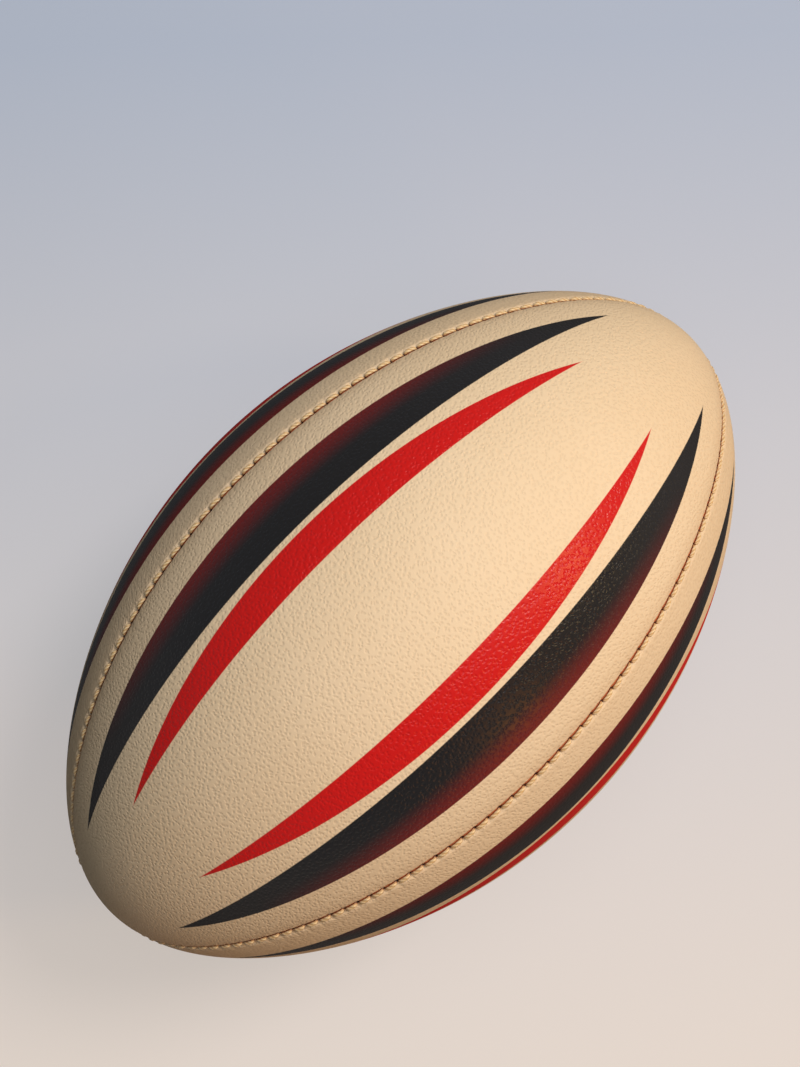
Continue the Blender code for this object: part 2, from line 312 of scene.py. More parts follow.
def set_points(mesh, points):
    mesh.vertices.foreach_set("co", np.asarray(points, np.float32).ravel())
    mesh.update()


def get_points(mesh):
    points = np.empty(len(mesh.vertices) * 3, np.float32)
    mesh.vertices.foreach_get("co", points)
    return points.reshape(-1, 3).astype(float)


def set_uv(mesh, name, u, v):
    """Write a UV map from values at the mesh's points."""
    corner = np.empty(len(mesh.loops), np.int32)
    mesh.loops.foreach_get("vertex_index", corner)
    marks = np.stack((u, v), axis=-1)[corner]
    mesh.uv_layers[name].data.foreach_set("uv", marks.astype(np.float32).ravel())


def turn_faces_out(obj):
    select_only(obj)
    bpy.ops.object.mode_set(mode="EDIT")
    bpy.ops.mesh.select_all(action="SELECT")
    bpy.ops.mesh.normals_make_consistent(inside=False)
    bpy.ops.object.mode_set(mode="OBJECT")


class Meridian:
    """Half outline of the ball from the +X tip to the -X tip, by its length in metres."""

    def __init__(self, tip_radius):
        start = tip_radius / (GIRTH_RADIUS * (1 - SHOULDER_SLIMMING))
        t = np.linspace(start, math.pi - start, OUTLINE_POINTS)
        self.x = HALF_LENGTH * np.cos(t)
        self.r = GIRTH_RADIUS * np.sin(t) * (1 - SHOULDER_SLIMMING * np.cos(t) ** 2)
        step = np.hypot(np.diff(self.x), np.diff(self.r))
        self.s = np.concatenate(([0.0], np.cumsum(step)))
        self.length = self.s[-1]
        dx = np.gradient(self.x, self.s)
        dr = np.gradient(self.r, self.s)
        size = np.hypot(dx, dr)
        self.inward_x = -dr / size
        self.inward_r = dx / size

    def at(self, s):
        """Place, radius and inward direction at lengths along the outline."""
        values = (self.x, self.r, self.inward_x, self.inward_r)
        return [np.interp(s, self.s, value) for value in values]


OUTLINE = Meridian(TIP_RADIUS)
STITCH_PITCH = OUTLINE.length / STITCHES


def hole_pull(s):
    """How hard the thread pulls the leather in: about 1 at each stitch hole, 0 between two holes."""
    near = 0.5 - 0.5 * np.cos(2 * math.pi * s / STITCH_PITCH)
    wobble = 1 - PUCKER_WOBBLE + PUCKER_WOBBLE * np.sin(np.floor(s / STITCH_PITCH) * STRAY)
    return near**PUCKER_SHARPNESS * wobble


def stitch_rows():
    """Lengths along the outline, closer together at the stitch holes."""
    u = np.arange(STITCHES * ROWS_PER_STITCH + 1) / ROWS_PER_STITCH
    return STITCH_PITCH * (u + HOLE_CROWDING * np.sin(2 * math.pi * u) / (2 * math.pi))


def over_edge():
    """Distances from the seam, depths and pucker of an edge that rolls straight into it, bottom first."""
    roll = np.linspace(0.0, math.pi / 2, ROLL_STEPS + 1)
    side = SEAM_HALF_GAP + OVER_ROLL * (1 - np.cos(roll))
    return side, OVER_ROLL * (1 - np.sin(roll)), OVER_PUCKER


def under_edge():
    """Distances from the seam, depths and pucker of an edge with a ledge for the stitches, bottom first."""
    rise = np.linspace(0.0, 1.0, ROLL_STEPS + 1)
    ledge = np.linspace(SEAM_HALF_GAP, LEDGE_WIDTH, LEDGE_STEPS + 1)[:-1]
    side = np.concatenate((ledge, LEDGE_WIDTH + SWELL_WIDTH * rise))
    swell = LEDGE_DEPTH * (0.5 + 0.5 * np.cos(math.pi * rise))
    return side, np.concatenate((np.full(len(ledge), LEDGE_DEPTH), swell)), UNDER_PUCKER


def half_section(s, depth, edge, setback, centre_columns):
    """Angle, depth and distance from the seam of one half of a panel, edge first, as rows by columns."""
    r = OUTLINE.at(s)[1][:, None]
    fade = np.minimum(1.0, r / EDGE_FULL_RADIUS)
    side, sink, pucker = edge() if edge else (np.array([setback]), np.array([0.0]), 0.0)
    edge_angle = math.pi / 4 - np.arcsin(np.minimum(fade * side / r, EDGE_SINE_LIMIT))
    last = edge_angle[:, -1:]
    share = np.linspace(0.0, 1.0, centre_columns + 1)[None, 1:] ** CENTRE_CROWDING
    angle = np.hstack((edge_angle, last * (1 - share)))
    distance = np.hstack((fade * side, fade * side[-1] + r * last * share))
    sunk = np.hstack((fade * sink, np.zeros((len(s), centre_columns))))
    if edge:
        sunk += fade * PILLOW_DEPTH * np.exp(-distance / PILLOW_REACH)
        sunk += fade * pucker * hole_pull(s)[:, None] * np.exp(-((distance / PUCKER_REACH) ** 2))
        angle = np.hstack((angle[:, :1], angle))
        sunk = np.hstack((sunk[:, :1] + fade * (EDGE_BOTTOM - sunk[:, :1]), sunk))
        distance = np.hstack((np.zeros_like(r), distance))
    return angle, sunk + depth, distance


def panel_points(turn, s, depth, edge, setback, centre_columns, dimple):
    """Places of a panel's points, and their distances from the nearer seam and from the middle line."""
    angle, sunk, distance = half_section(s, depth, edge, setback, centre_columns)
    angle = np.hstack((-angle, angle[:, -2::-1]))
    sunk = np.hstack((sunk, sunk[:, -2::-1]))
    distance = np.hstack((distance, distance[:, -2::-1]))
    x, r, inward_x, inward_r = (value[:, None] for value in OUTLINE.at(s))
    if dimple:
        away = np.hypot(x, r * angle)
        sunk = sunk + VALVE_DIMPLE_DEPTH * np.exp(-((away / VALVE_DIMPLE_REACH) ** 2))
    radius = r + inward_r * sunk
    turned = angle - turn
    place = np.stack((x + inward_x * sunk, radius * np.sin(turned), radius * np.cos(turned)), axis=-1)
    return place, distance, r * angle


def panel_sheet(
    name, turn, s, depth, thickness, edge=None, setback=0.0, centre_columns=PLY_COLUMNS, dimple=False
):
    """A quarter of the ball's skin: a grid laid on the outline between two seams, then thickened inward."""
    place, from_seam, from_middle = panel_points(turn, s, depth, edge, setback, centre_columns, dimple)
    rows, columns = from_seam.shape
    select_only(None)
    bpy.ops.mesh.primitive_grid_add(x_subdivisions=rows - 1, y_subdivisions=columns - 1, size=2.0)
    obj = bpy.context.object
    obj.name = name
    mesh = obj.data
    flat = get_points(mesh)
    row = np.rint((flat[:, 0] + 1) / 2 * (rows - 1)).astype(int)
    column = np.rint((flat[:, 1] + 1) / 2 * (columns - 1)).astype(int)
    set_points(mesh, place[row, column])

    along = (s[row] - OUTLINE.length / 2) * MM
    mesh.uv_layers[0].name = "print_mm"
    mesh.uv_layers.new(name="skin_mm")
    set_uv(mesh, "print_mm", along, from_seam[row, column] * MM)
    set_uv(mesh, "skin_mm", along, from_middle[row, column] * MM)

    middle = mesh.polygons[len(mesh.polygons) // 2]
    if middle.normal.dot(middle.center) < 0:
        bpy.ops.object.mode_set(mode="EDIT")
        bpy.ops.mesh.select_all(action="SELECT")
        bpy.ops.mesh.flip_normals()
        bpy.ops.object.mode_set(mode="OBJECT")
    thicken(obj, thickness)
    return obj


def thicken(obj, thickness):
    shell = obj.modifiers.new("thickness", "SOLIDIFY")
    shell.thickness = thickness
    shell.offset = -1.0
    apply_modifiers(obj)
    bpy.ops.object.shade_smooth()


def cut(obj, cutter, operation="DIFFERENCE"):
    modifier = obj.modifiers.new("cut", "BOOLEAN")
    modifier.object = cutter
    modifier.operation = operation
    apply_modifiers(obj)
    bpy.data.objects.remove(cutter)


def valve_cylinder(radius):
    """Cutter along the valve's axis."""
    select_only(None)
    bpy.ops.mesh.primitive_cylinder_add(
        vertices=LATHE_STEPS,
        radius=radius,
        depth=CUTTER_LENGTH,
        location=(0.0, GIRTH_RADIUS, 0.0),
        rotation=(math.pi / 2, 0.0, 0.0),
    )
    return bpy.context.object


def lathe(name, outline):
    """Spin a closed or axis-to-axis outline of radius and Y about the valve's axis, and round its corners."""
    select_only(None)
    bpy.ops.mesh.primitive_plane_add(size=START_PLANE)
    obj = bpy.context.object
    obj.name = name
    bpy.ops.object.mode_set(mode="EDIT")
    bpy.ops.mesh.merge(type="CENTER")
    bpy.ops.transform.translate(value=(outline[0][0], outline[0][1], 0.0))
    for last, point in zip(outline, outline[1:]):
        step = (point[0] - last[0], point[1] - last[1], 0.0)
        bpy.ops.mesh.extrude_region_move(TRANSFORM_OT_translate={"value": step})
    bpy.ops.mesh.select_all(action="SELECT")
    bpy.ops.mesh.remove_doubles(threshold=MERGE_DISTANCE)
    bpy.ops.mesh.spin(steps=LATHE_STEPS, angle=2 * math.pi, center=(0.0, 0.0, 0.0), axis=(0.0, 1.0, 0.0))
    bpy.ops.mesh.select_all(action="SELECT")
    bpy.ops.mesh.remove_doubles(threshold=MERGE_DISTANCE)
    bpy.ops.mesh.normals_make_consistent(inside=False)
    bpy.ops.object.mode_set(mode="OBJECT")
    rounding = obj.modifiers.new("rounding", "BEVEL")
    rounding.width = RUBBER_ROUNDING
    rounding.segments = ROUNDING_STEPS
    rounding.limit_method = "ANGLE"
    rounding.angle_limit = ROUNDED_ANGLE
    apply_modifiers(obj)
    bpy.ops.object.shade_smooth_by_angle(angle=SMOOTHED_ANGLE)
    return obj


def thread_blank(name, count):
    """Straight stitches in a row along X, one pitch apart, each with rings to bend it by."""
    length = STITCH_PITCH * STITCH_LENGTH_SHARE
    select_only(None)
    bpy.ops.mesh.primitive_cylinder_add(
        vertices=THREAD_SIDES,
        radius=THREAD_RADIUS,
        depth=length,
        rotation=(0.0, math.pi / 2, 0.0),
    )
    obj = bpy.context.object
    obj.name = name
    bpy.ops.object.transform_apply(location=False, rotation=True, scale=False)
    mesh = obj.data
    bpy.ops.object.mode_set(mode="EDIT")
    bpy.ops.mesh.select_all(action="DESELECT")
    bpy.ops.object.mode_set(mode="OBJECT")
    for edge in mesh.edges:
        a, b = (mesh.vertices[i].co for i in edge.vertices)
        edge.select = bool(abs(a.x - b.x) > length / 2)
    bpy.ops.object.mode_set(mode="EDIT")
    bpy.ops.mesh.select_mode(type="EDGE")
    bpy.ops.mesh.subdivide(number_cuts=THREAD_CUTS)
    bpy.ops.mesh.select_mode(type="VERT")
    bpy.ops.object.mode_set(mode="OBJECT")
    row = obj.modifiers.new("row", "ARRAY")
    row.count = count
    row.use_relative_offset = False
    row.use_constant_offset = True
    row.constant_offset_displace = (STITCH_PITCH, 0.0, 0.0)
    apply_modifiers(obj)
    points = get_points(mesh)
    number = np.repeat(np.arange(count), len(points) // count)
    along = points[:, 0] - number * STITCH_PITCH
    share = along / (length / 2)
    taper = np.sqrt(1 - THREAD_TAPER * share**THREAD_DIVE_POWER)
    deep = THREAD_MID_DEPTH + (THREAD_END_DEPTH - THREAD_MID_DEPTH) * share**THREAD_DIVE_POWER
    return obj, number, along, share, points[:, 1] * taper, points[:, 2] * taper, deep


def finish_thread(obj, points, sunk):
    """Bend the stitches to their places and note how far each point lies under the leather."""
    set_points(obj.data, points)
    note = obj.data.attributes.new("sunk_mm", "FLOAT", "POINT")
    note.data.foreach_set("value", (sunk * MM).astype(np.float32))
    turn_faces_out(obj)
    bpy.ops.object.shade_smooth()
    return obj


def stitch_row(name, turn, lie):
    """Single stitches along a seam, each slanted a little and diving into the hole at both its ends."""
    obj, number, along, share, across, up, deep = thread_blank(name, STITCHES - 1)
    s = (number + 1) * STITCH_PITCH + along
    x, r, inward_x, inward_r = OUTLINE.at(s)
    fade = np.minimum(1.0, r / EDGE_FULL_RADIUS)
    thin = np.sqrt(fade)
    sway = THREAD_SWAY * np.sin(number * STRAY)
    sunk = thin * deep + sway - up * thin
    side = (fade * (THREAD_OFFSET + THREAD_SLANT * share) + sway) * lie + across * thin
    radius = r + inward_r * sunk
    y = side * math.cos(turn) - radius * math.sin(turn)
    z = side * math.sin(turn) + radius * math.cos(turn)
    return finish_thread(obj, np.stack((x + inward_x * sunk, y, z), axis=-1), sunk)


def crossed_stitches(name, end):
    """Two stitches that cross over the tip where the four seams meet."""
    obj, number, along, share, across, up, deep = thread_blank(name, 2)
    thin = math.sqrt(STITCH_PITCH / 2 / EDGE_FULL_RADIUS)
    lift = CROSSING_LIFT * (number - 0.5) * np.exp(-((share / CROSSING_REACH) ** 2))
    sunk = thin * deep - lift - up * thin
    heading = math.pi / 4 + number * math.pi / 2
    y = along * np.cos(heading) - across * thin * np.sin(heading)
    z = along * np.sin(heading) + across * thin * np.cos(heading)
    x = end * (HALF_LENGTH - along**2 / (2 * TIP_CURVE) - sunk)
    return finish_thread(obj, np.stack((x, y, z), axis=-1), sunk)


def bladder_shell():
    """Blown rubber bladder, following the outline, with a hole for the valve."""
    select_only(None)
    bpy.ops.mesh.primitive_uv_sphere_add(
        segments=BLADDER_SEGMENTS,
        ring_count=BLADDER_RINGS,
        radius=1.0,
        rotation=(0.0, math.pi / 2, 0.0),
    )
    obj = bpy.context.object
    obj.name = "blown_bladder"
    bpy.ops.object.transform_apply(location=False, rotation=True, scale=False)
    ball = get_points(obj.data)
    around = np.arctan2(ball[:, 1], ball[:, 2])
    s = OUTLINE.length * np.arccos(np.clip(ball[:, 0], -1.0, 1.0)) / math.pi
    x, r, inward_x, inward_r = OUTLINE.at(s)
    pole = np.hypot(ball[:, 1], ball[:, 2]) < POLE_RADIUS
    radius = np.where(pole, 0.0, r + inward_r * BLADDER_DEPTH)
    x = x + inward_x * BLADDER_DEPTH
    set_points(obj.data, np.stack((x, radius * np.sin(around), radius * np.cos(around)), axis=-1))
    turn_faces_out(obj)
    thicken(obj, BLADDER_THICKNESS)
    cut(obj, valve_cylinder(VALVE_HOLE_RADIUS))
    return obj


def valve_seat():
    """Rubber boss: a neck through the wall, a flange inside the bladder and a stepped bore."""
    top, bottom = SEAT_HIGH.y, SEAT_LOW.y
    flange = VALVE_FLANGE_TOP
    return lathe("valve_boss", [
        (HEAD_BORE_RADIUS, top),
        (VALVE_NECK_RADIUS, top),
        (VALVE_NECK_RADIUS, flange),
        (SEAT_HIGH.x, flange),
        (SEAT_HIGH.x, flange - VALVE_FLANGE_THICKNESS),
        (VALVE_NECK_RADIUS, flange - VALVE_FLANGE_THICKNESS),
        (VALVE_NECK_RADIUS, bottom),
        (BODY_BORE_RADIUS, bottom),
        (BODY_BORE_RADIUS, top - BORE_STEP),
        (HEAD_BORE_RADIUS, top - BORE_STEP),
        (HEAD_BORE_RADIUS, top),
    ])


def valve_core():
    """Push-in plug: a head, a body with a chamfered tip, and a funnelled needle passage ending in a slit."""
    top, bottom = CORE_HIGH.y, CORE_LOW.y
    core = lathe("valve_plug", [
        (0.0, top - NEEDLE_DEPTH),
        (NEEDLE_RADIUS, top - NEEDLE_DEPTH),
        (NEEDLE_RADIUS, top - NEEDLE_FUNNEL),
        (NEEDLE_RADIUS + NEEDLE_FUNNEL, top),
        (CORE_HIGH.x, top),
        (CORE_HIGH.x, top - CORE_HEAD_HEIGHT),
        (CORE_BODY_RADIUS, top - CORE_HEAD_HEIGHT),
        (CORE_BODY_RADIUS, bottom + CORE_TIP_CHAMFER),
        (CORE_BODY_RADIUS - CORE_TIP_CHAMFER, bottom),
        (0.0, bottom),
    ])
    select_only(None)
    end_wall = top - NEEDLE_DEPTH - bottom
    bpy.ops.mesh.primitive_cube_add(
        size=1.0,
        location=(0.0, bottom + end_wall / 2, 0.0),
        scale=(SLIT_LENGTH, SLIT_OVERCUT * end_wall, SLIT_WIDTH),
    )
    cut(core, bpy.context.object)
    return core


def add_node(tree, kind, inputs=None, **settings):
    """Add a shader node, set its properties, and give its inputs values or links."""
    node = tree.nodes.new(kind)
    for key, value in settings.items():
        setattr(node, key, value)
    for key, value in (inputs or {}).items():
        if isinstance(value, bpy.types.NodeSocket):
            tree.links.new(value, node.inputs[key])
        else:
            node.inputs[key].default_value = value
    return node


def linear(code):
    """Linear colour of an sRGB hex value."""
    parts = [int(code[i:i + 2], 16) / 255 for i in (1, 3, 5)]
    return (*[c / 12.92 if c <= 0.04045 else ((c + 0.055) / 1.055) ** 2.4 for c in parts], 1.0)


def new_material(name):
    material = bpy.data.materials.new(name)
    material.use_nodes = True
    return material, material.node_tree, material.node_tree.nodes["Principled BSDF"]


def blend(tree, share, first, second):
    """Colour between two others, each a hex value or a socket."""
    inputs = {"Factor": share}
    for key, colour in (("A", first), ("B", second)):
        inputs[key] = linear(colour) if isinstance(colour, str) else colour
    return add_node(tree, "ShaderNodeMix", inputs, data_type="RGBA").outputs["Result"]


def crescent(tree, along, from_seam, half_length, distance, bow, half_width):
    """Band beside the seam, pointed at both ends: its mask, fade to the seam and squared share along."""
    share = add_node(tree, "ShaderNodeMath", {0: along, 1: half_length}, operation="DIVIDE").outputs[0]
    square = add_node(tree, "ShaderNodeMath", {0: share, 1: share}, operation="MULTIPLY").outputs[0]
    width = add_node(
        tree, "ShaderNodeMath", {0: square, 1: -half_width, 2: half_width}, operation="MULTIPLY_ADD"
    ).outputs[0]
    centre = add_node(
        tree, "ShaderNodeMath", {0: square, 1: bow, 2: distance}, operation="MULTIPLY_ADD"
    ).outputs[0]
    offset = add_node(tree, "ShaderNodeMath", {0: from_seam, 1: centre}, operation="SUBTRACT").outputs[0]
    away = add_node(tree, "ShaderNodeMath", {0: offset}, operation="ABSOLUTE").outputs[0]
    inside = add_node(tree, "ShaderNodeMath", {0: width, 1: away}, operation="SUBTRACT").outputs[0]
    mask = add_node(
        tree, "ShaderNodeMapRange", {"Value": inside, "From Min": -PRINT_EDGE_MM, "From Max": PRINT_EDGE_MM}
    ).outputs["Result"]
    fade = add_node(
        tree,
        "ShaderNodeMapRange",
        {"Value": offset, "From Min": GLOW_START * half_width, "From Max": -half_width},
        interpolation_type="SMOOTHSTEP",
    ).outputs["Result"]
    return mask, fade, square


def embossed_grain(tree, spot, skin):
    """Land between close-set pits that a waver draws out of line, and a finer wrinkle to lie on it."""
    waver = add_node(
        tree, "ShaderNodeTexNoise", {"Vector": skin, "Scale": 1 / WAVER_SIZE_MM, "Detail": 2.0}
    ).outputs["Color"]
    shifted = add_node(
        tree,
        "ShaderNodeVectorMath",
        {0: waver, 1: (WAVER_SHIFT_MM, WAVER_SHIFT_MM, 0.0), 2: skin},
        operation="MULTIPLY_ADD",
    ).outputs[0]
    pit = add_node(
        tree,
        "ShaderNodeTexVoronoi",
        {"Vector": shifted, "Scale": 1 / PIT_SPACING_MM},
        voronoi_dimensions="2D",
    ).outputs["Distance"]
    land = add_node(
        tree,
        "ShaderNodeMapRange",
        {"Value": pit, "From Min": PIT_FLOOR, "From Max": PIT_RIM},
        interpolation_type="SMOOTHSTEP",
    ).outputs["Result"]
    wrinkle = add_node(
        tree, "ShaderNodeTexNoise", {"Vector": spot, "Scale": 1 / WRINKLE_SIZE, "Detail": 3.0}
    ).outputs["Fac"]
    return land, wrinkle


def cream_ground(tree, spot, land, from_seam):
    """Cream with slow mottling, painted shade in the pits, and a mottled darker brown that thins out from the
    seam.
    """
    mottle = add_node(
        tree, "ShaderNodeTexNoise", {"Vector": spot, "Scale": 1 / MOTTLE_SIZE, "Detail": 4.0}
    ).outputs["Fac"]
    ground = blend(tree, mottle, CREAM_DEEP, CREAM_LIGHT)
    # Painted shade: the pits are tinted towards brown
    hollow = add_node(
        tree, "ShaderNodeMapRange", {"Value": land, "From Min": 1.0, "From Max": 0.0, "To Max": PIT_SHADE}
    ).outputs["Result"]
    ground = blend(tree, hollow, ground, PIT_SHADE_AND_SEAM_BROWN)
    # Mottled darker brown towards the seam
    seam_darkening = add_node(
        tree,
        "ShaderNodeMapRange",
        {"Value": from_seam, "From Min": SEAM_DARKENING_START_MM, "From Max": SEAM_DARKENING_FULL_MM, "To Max": SEAM_DARKENING_SHARE},
    ).outputs["Result"]
    seam_darkening = add_node(tree, "ShaderNodeMath", {0: seam_darkening, 1: mottle}, operation="MULTIPLY").outputs[0]
    return blend(tree, seam_darkening, ground, PIT_SHADE_AND_SEAM_BROWN)


def printed_bands(tree, ground, along, from_seam):
    """Dark band, glowing maroon towards the seam, and a red band inside it: the colour and the ink's mask."""
    band, fade, square = crescent(tree, along, from_seam, *DARK_BAND_MM)
    glow = add_node(
        tree,
        "ShaderNodeMapRange",
        {"Value": square, "From Min": GLOW_GONE, "From Max": GLOW_FULL, "To Max": GLOW_SHARE},
    ).outputs["Result"]
    glow = add_node(tree, "ShaderNodeMath", {0: glow, 1: fade}, operation="MULTIPLY").outputs[0]
    colour = blend(tree, band, ground, blend(tree, glow, BLACK_INK, MAROON_INK))
    stripe = crescent(tree, along, from_seam, *RED_BAND_MM)[0]
    colour = blend(tree, stripe, colour, RED_INK)
    ink = add_node(tree, "ShaderNodeMath", {0: band, 1: stripe}, operation="MAXIMUM").outputs[0]
    return colour, ink


def printed_leather():
    """Embossed polyurethane leather: warm satin cream, close-set pits, and ink over the same grain."""
    material, tree, shader = new_material("embossed_polyurethane_leather")
    spot = add_node(tree, "ShaderNodeTexCoord").outputs["Object"]
    layout = add_node(tree, "ShaderNodeUVMap", uv_map="print_mm").outputs["UV"]
    skin = add_node(tree, "ShaderNodeUVMap", uv_map="skin_mm").outputs["UV"]
    split = add_node(tree, "ShaderNodeSeparateXYZ", {0: layout})
    along = split.outputs["X"]
    from_seam = split.outputs["Y"]
    land, wrinkle = embossed_grain(tree, spot, skin)
    ground = cream_ground(tree, spot, land, from_seam)
    colour, ink = printed_bands(tree, ground, along, from_seam)

    # Painted shade: red-brown on the turned edge down in the seam, for the warm shade of the groove
    groove_shade = add_node(
        tree,
        "ShaderNodeMapRange",
        {"Value": from_seam, "From Min": GROOVE_SHADE_START_MM, "From Max": GROOVE_SHADE_FULL_MM, "To Max": GROOVE_SHADE_SHARE},
    ).outputs["Result"]
    colour = blend(tree, groove_shade, colour, SEAM_GROOVE_SHADE)
    tree.links.new(colour, shader.inputs["Base Color"])

    # Ink is glossier than the bare grain, but dull at a grazing angle, where the embossing hides its flats
    facing = add_node(tree, "ShaderNodeLayerWeight", {"Blend": 0.5}).outputs["Facing"]
    ink_rough = add_node(
        tree,
        "ShaderNodeMapRange",
        {
            "Value": facing,
            "From Min": GRAZING_START,
            "From Max": GRAZING_FULL,
            "To Min": INK_ROUGHNESS,
            "To Max": GRAZED_INK_ROUGHNESS,
        },
    ).outputs["Result"]
    rough = add_node(
        tree, "ShaderNodeMapRange", {"Value": ink, "To Min": BARE_ROUGHNESS, "To Max": ink_rough}
    ).outputs["Result"]
    rough = add_node(
        tree, "ShaderNodeMath", {0: wrinkle, 1: WRINKLE_ROUGHNESS, 2: rough}, operation="MULTIPLY_ADD"
    ).outputs[0]
    tree.links.new(rough, shader.inputs["Roughness"])
    grain = add_node(
        tree, "ShaderNodeMath", {0: wrinkle, 1: WRINKLE_HEIGHT, 2: land}, operation="MULTIPLY_ADD"
    ).outputs[0]
    bump = add_node(tree, "ShaderNodeBump", {"Height": grain, "Strength": 1.0, "Distance": GRAIN_DEPTH})
    tree.links.new(bump.outputs["Normal"], shader.inputs["Normal"])
    shader.inputs["Specular IOR Level"].default_value = LEATHER_SPECULAR
    shader.inputs["IOR"].default_value = LEATHER_IOR
    return material


def waxed_thread():
    """Waxed polyester thread: three twisted plies, pale on top, with painted shade, red-brown and then dark,
    where it sinks.
    """
    material, tree, shader = new_material("waxed_polyester_thread")

    # The side of a stitch takes up the whole width of its UV map, but only half of its height
    around = add_node(tree, "ShaderNodeTexCoord").outputs["UV"]
    twist = (THREAD_PLIES * 2 * math.pi, PLIES_ALONG_STITCH * 4 * math.pi, 0.0)
    phase = add_node(
        tree, "ShaderNodeVectorMath", {0: around, 1: twist}, operation="DOT_PRODUCT"
    ).outputs["Value"]
    wave = add_node(tree, "ShaderNodeMath", {0: phase}, operation="SINE").outputs[0]
    ply = add_node(tree, "ShaderNodeMapRange", {"Value": wave, "From Min": -1.0}).outputs["Result"]
    # Painted shade: darker in the grooves between the twisted plies
    colour = blend(tree, ply, THREAD_SHADE, THREAD_LIGHT)
    sunk = add_node(tree, "ShaderNodeAttribute", attribute_name="sunk_mm").outputs["Fac"]
    # Painted shade: red-brown where the thread sinks under the leather
    sunk_shade = add_node(
        tree, "ShaderNodeMapRange", {"Value": sunk, "From Min": SUNK_SHADE_START_MM, "From Max": SUNK_SHADE_FULL_MM}
    ).outputs["Result"]
    colour = blend(tree, sunk_shade, colour, THREAD_SUNK_SHADE)
    # Painted shade: near black where the thread dives into its hole
    hole = add_node(
        tree, "ShaderNodeMapRange", {"Value": sunk, "From Min": HOLE_SHADE_START_MM, "From Max": HOLE_SHADE_FULL_MM}
    ).outputs["Result"]
    colour = blend(tree, hole, colour, THREAD_HOLE_SHADE)
    tree.links.new(colour, shader.inputs["Base Color"])
    bump = add_node(
        tree,
        "ShaderNodeBump",
        {"Height": ply, "Strength": THREAD_PLY_STRENGTH, "Distance": THREAD_PLY_DEPTH},
    )
    tree.links.new(bump.outputs["Normal"], shader.inputs["Normal"])
    shader.inputs["Roughness"].default_value = THREAD_ROUGHNESS
    return material


def woven_cloth(name, light, dark, thread_mm):
    """Plain weave: two crossing sets of threads that give a fine check of light and shade."""
    material, tree, shader = new_material(name)
    spot = add_node(tree, "ShaderNodeTexCoord").outputs["Object"]
    scale = MM / thread_mm / (2 * math.pi)
    warp = add_node(tree, "ShaderNodeTexWave", {"Vector": spot, "Scale": scale}, bands_direction="X")
    weft = add_node(tree, "ShaderNodeTexWave", {"Vector": spot, "Scale": scale}, bands_direction="Z")
    weave = add_node(
        tree, "ShaderNodeMath", {0: warp.outputs["Fac"], 1: weft.outputs["Fac"]}, operation="MULTIPLY"
    ).outputs[0]
    tree.links.new(blend(tree, weave, dark, light), shader.inputs["Base Color"])
    bump = add_node(
        tree, "ShaderNodeBump", {"Height": weave, "Strength": WEAVE_STRENGTH, "Distance": WEAVE_DEPTH}
    )
    tree.links.new(bump.outputs["Normal"], shader.inputs["Normal"])
    shader.inputs["Roughness"].default_value = CLOTH_ROUGHNESS
    return material


def moulded_rubber(name, light, dark, roughness):
    """Moulded rubber: near black, with a dull bloom in patches and a faint grain from the mould."""
    material, tree, shader = new_material(name)
    spot = add_node(tree, "ShaderNodeTexCoord").outputs["Object"]
    bloom = add_node(
        tree, "ShaderNodeTexNoise", {"Vector": spot, "Scale": 1 / BLOOM_SIZE, "Detail": 4.0}
    ).outputs["Fac"]
    tree.links.new(blend(tree, bloom, dark, light), shader.inputs["Base Color"])
    fine = add_node(
        tree, "ShaderNodeTexNoise", {"Vector": spot, "Scale": 1 / MOULD_GRAIN_SIZE, "Detail": 2.0}
    ).outputs["Fac"]
    bump = add_node(
        tree,
        "ShaderNodeBump",
        {"Height": fine, "Strength": MOULD_GRAIN_STRENGTH, "Distance": MOULD_GRAIN_DEPTH},
    )
    tree.links.new(bump.outputs["Normal"], shader.inputs["Normal"])
    shader.inputs["Roughness"].default_value = roughness
    return material


def place_piece(obj, material, node, body="ball"):
    """Give a finished piece its material and let it stand for its node."""
    obj.data.materials.clear()
    obj.data.materials.append(material)
    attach(obj, body)
    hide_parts(node)


def build_panels():
    leather = printed_leather()
    polyester = woven_cloth("woven_polyester", *POLYESTER_CLOTH)
    cotton = woven_cloth("woven_cotton", *COTTON_CLOTH)
    canvas = woven_cloth("coarse_canvas", *CANVAS_CLOTH)
    cover_rows = stitch_rows()
    ply_rows = np.linspace(0.0, OUTLINE.length, PLY_ROWS + 1)
    for side, turn in PANEL_TURNS.items():
        over = side in OVER_PANELS
        back = side == "back"
        panel = panel_sheet(
            "panel_" + side,
            turn,
            cover_rows,
            0.0,
            COVER_THICKNESS,
            edge=over_edge if over else under_edge,
            centre_columns=CENTRE_COLUMNS,
            dimple=back,
        )
        setback = OVER_PLY_SETBACK if over else UNDER_PLY_SETBACK
        inner = panel_sheet(
            "polyester_" + side, turn, ply_rows, POLYESTER_DEPTH, PLY_THICKNESS, setback=setback
        )
        lining = panel_sheet("cotton_" + side, turn, ply_rows, COTTON_DEPTH, PLY_THICKNESS, setback=setback)
        if back:
            cut(panel, valve_cylinder(VALVE_HOLE_RADIUS))
            cut(inner, valve_cylinder(VALVE_HOLE_RADIUS))
            cut(lining, valve_cylinder(PATCH_RADIUS + LAYER_GAP))
            patch = panel_sheet("canvas_patch", turn, ply_rows, COTTON_DEPTH, PLY_THICKNESS, setback=setback)
            cut(patch, valve_cylinder(PATCH_RADIUS), "INTERSECT")
            cut(patch, valve_cylinder(VALVE_HOLE_RADIUS))
            place_piece(patch, canvas, "valve_patch")
        place_piece(panel, leather, "cover_panel_" + side)
        place_piece(inner, polyester, "polyester_ply_" + side)
        place_piece(lining, cotton, "cotton_ply_" + side)


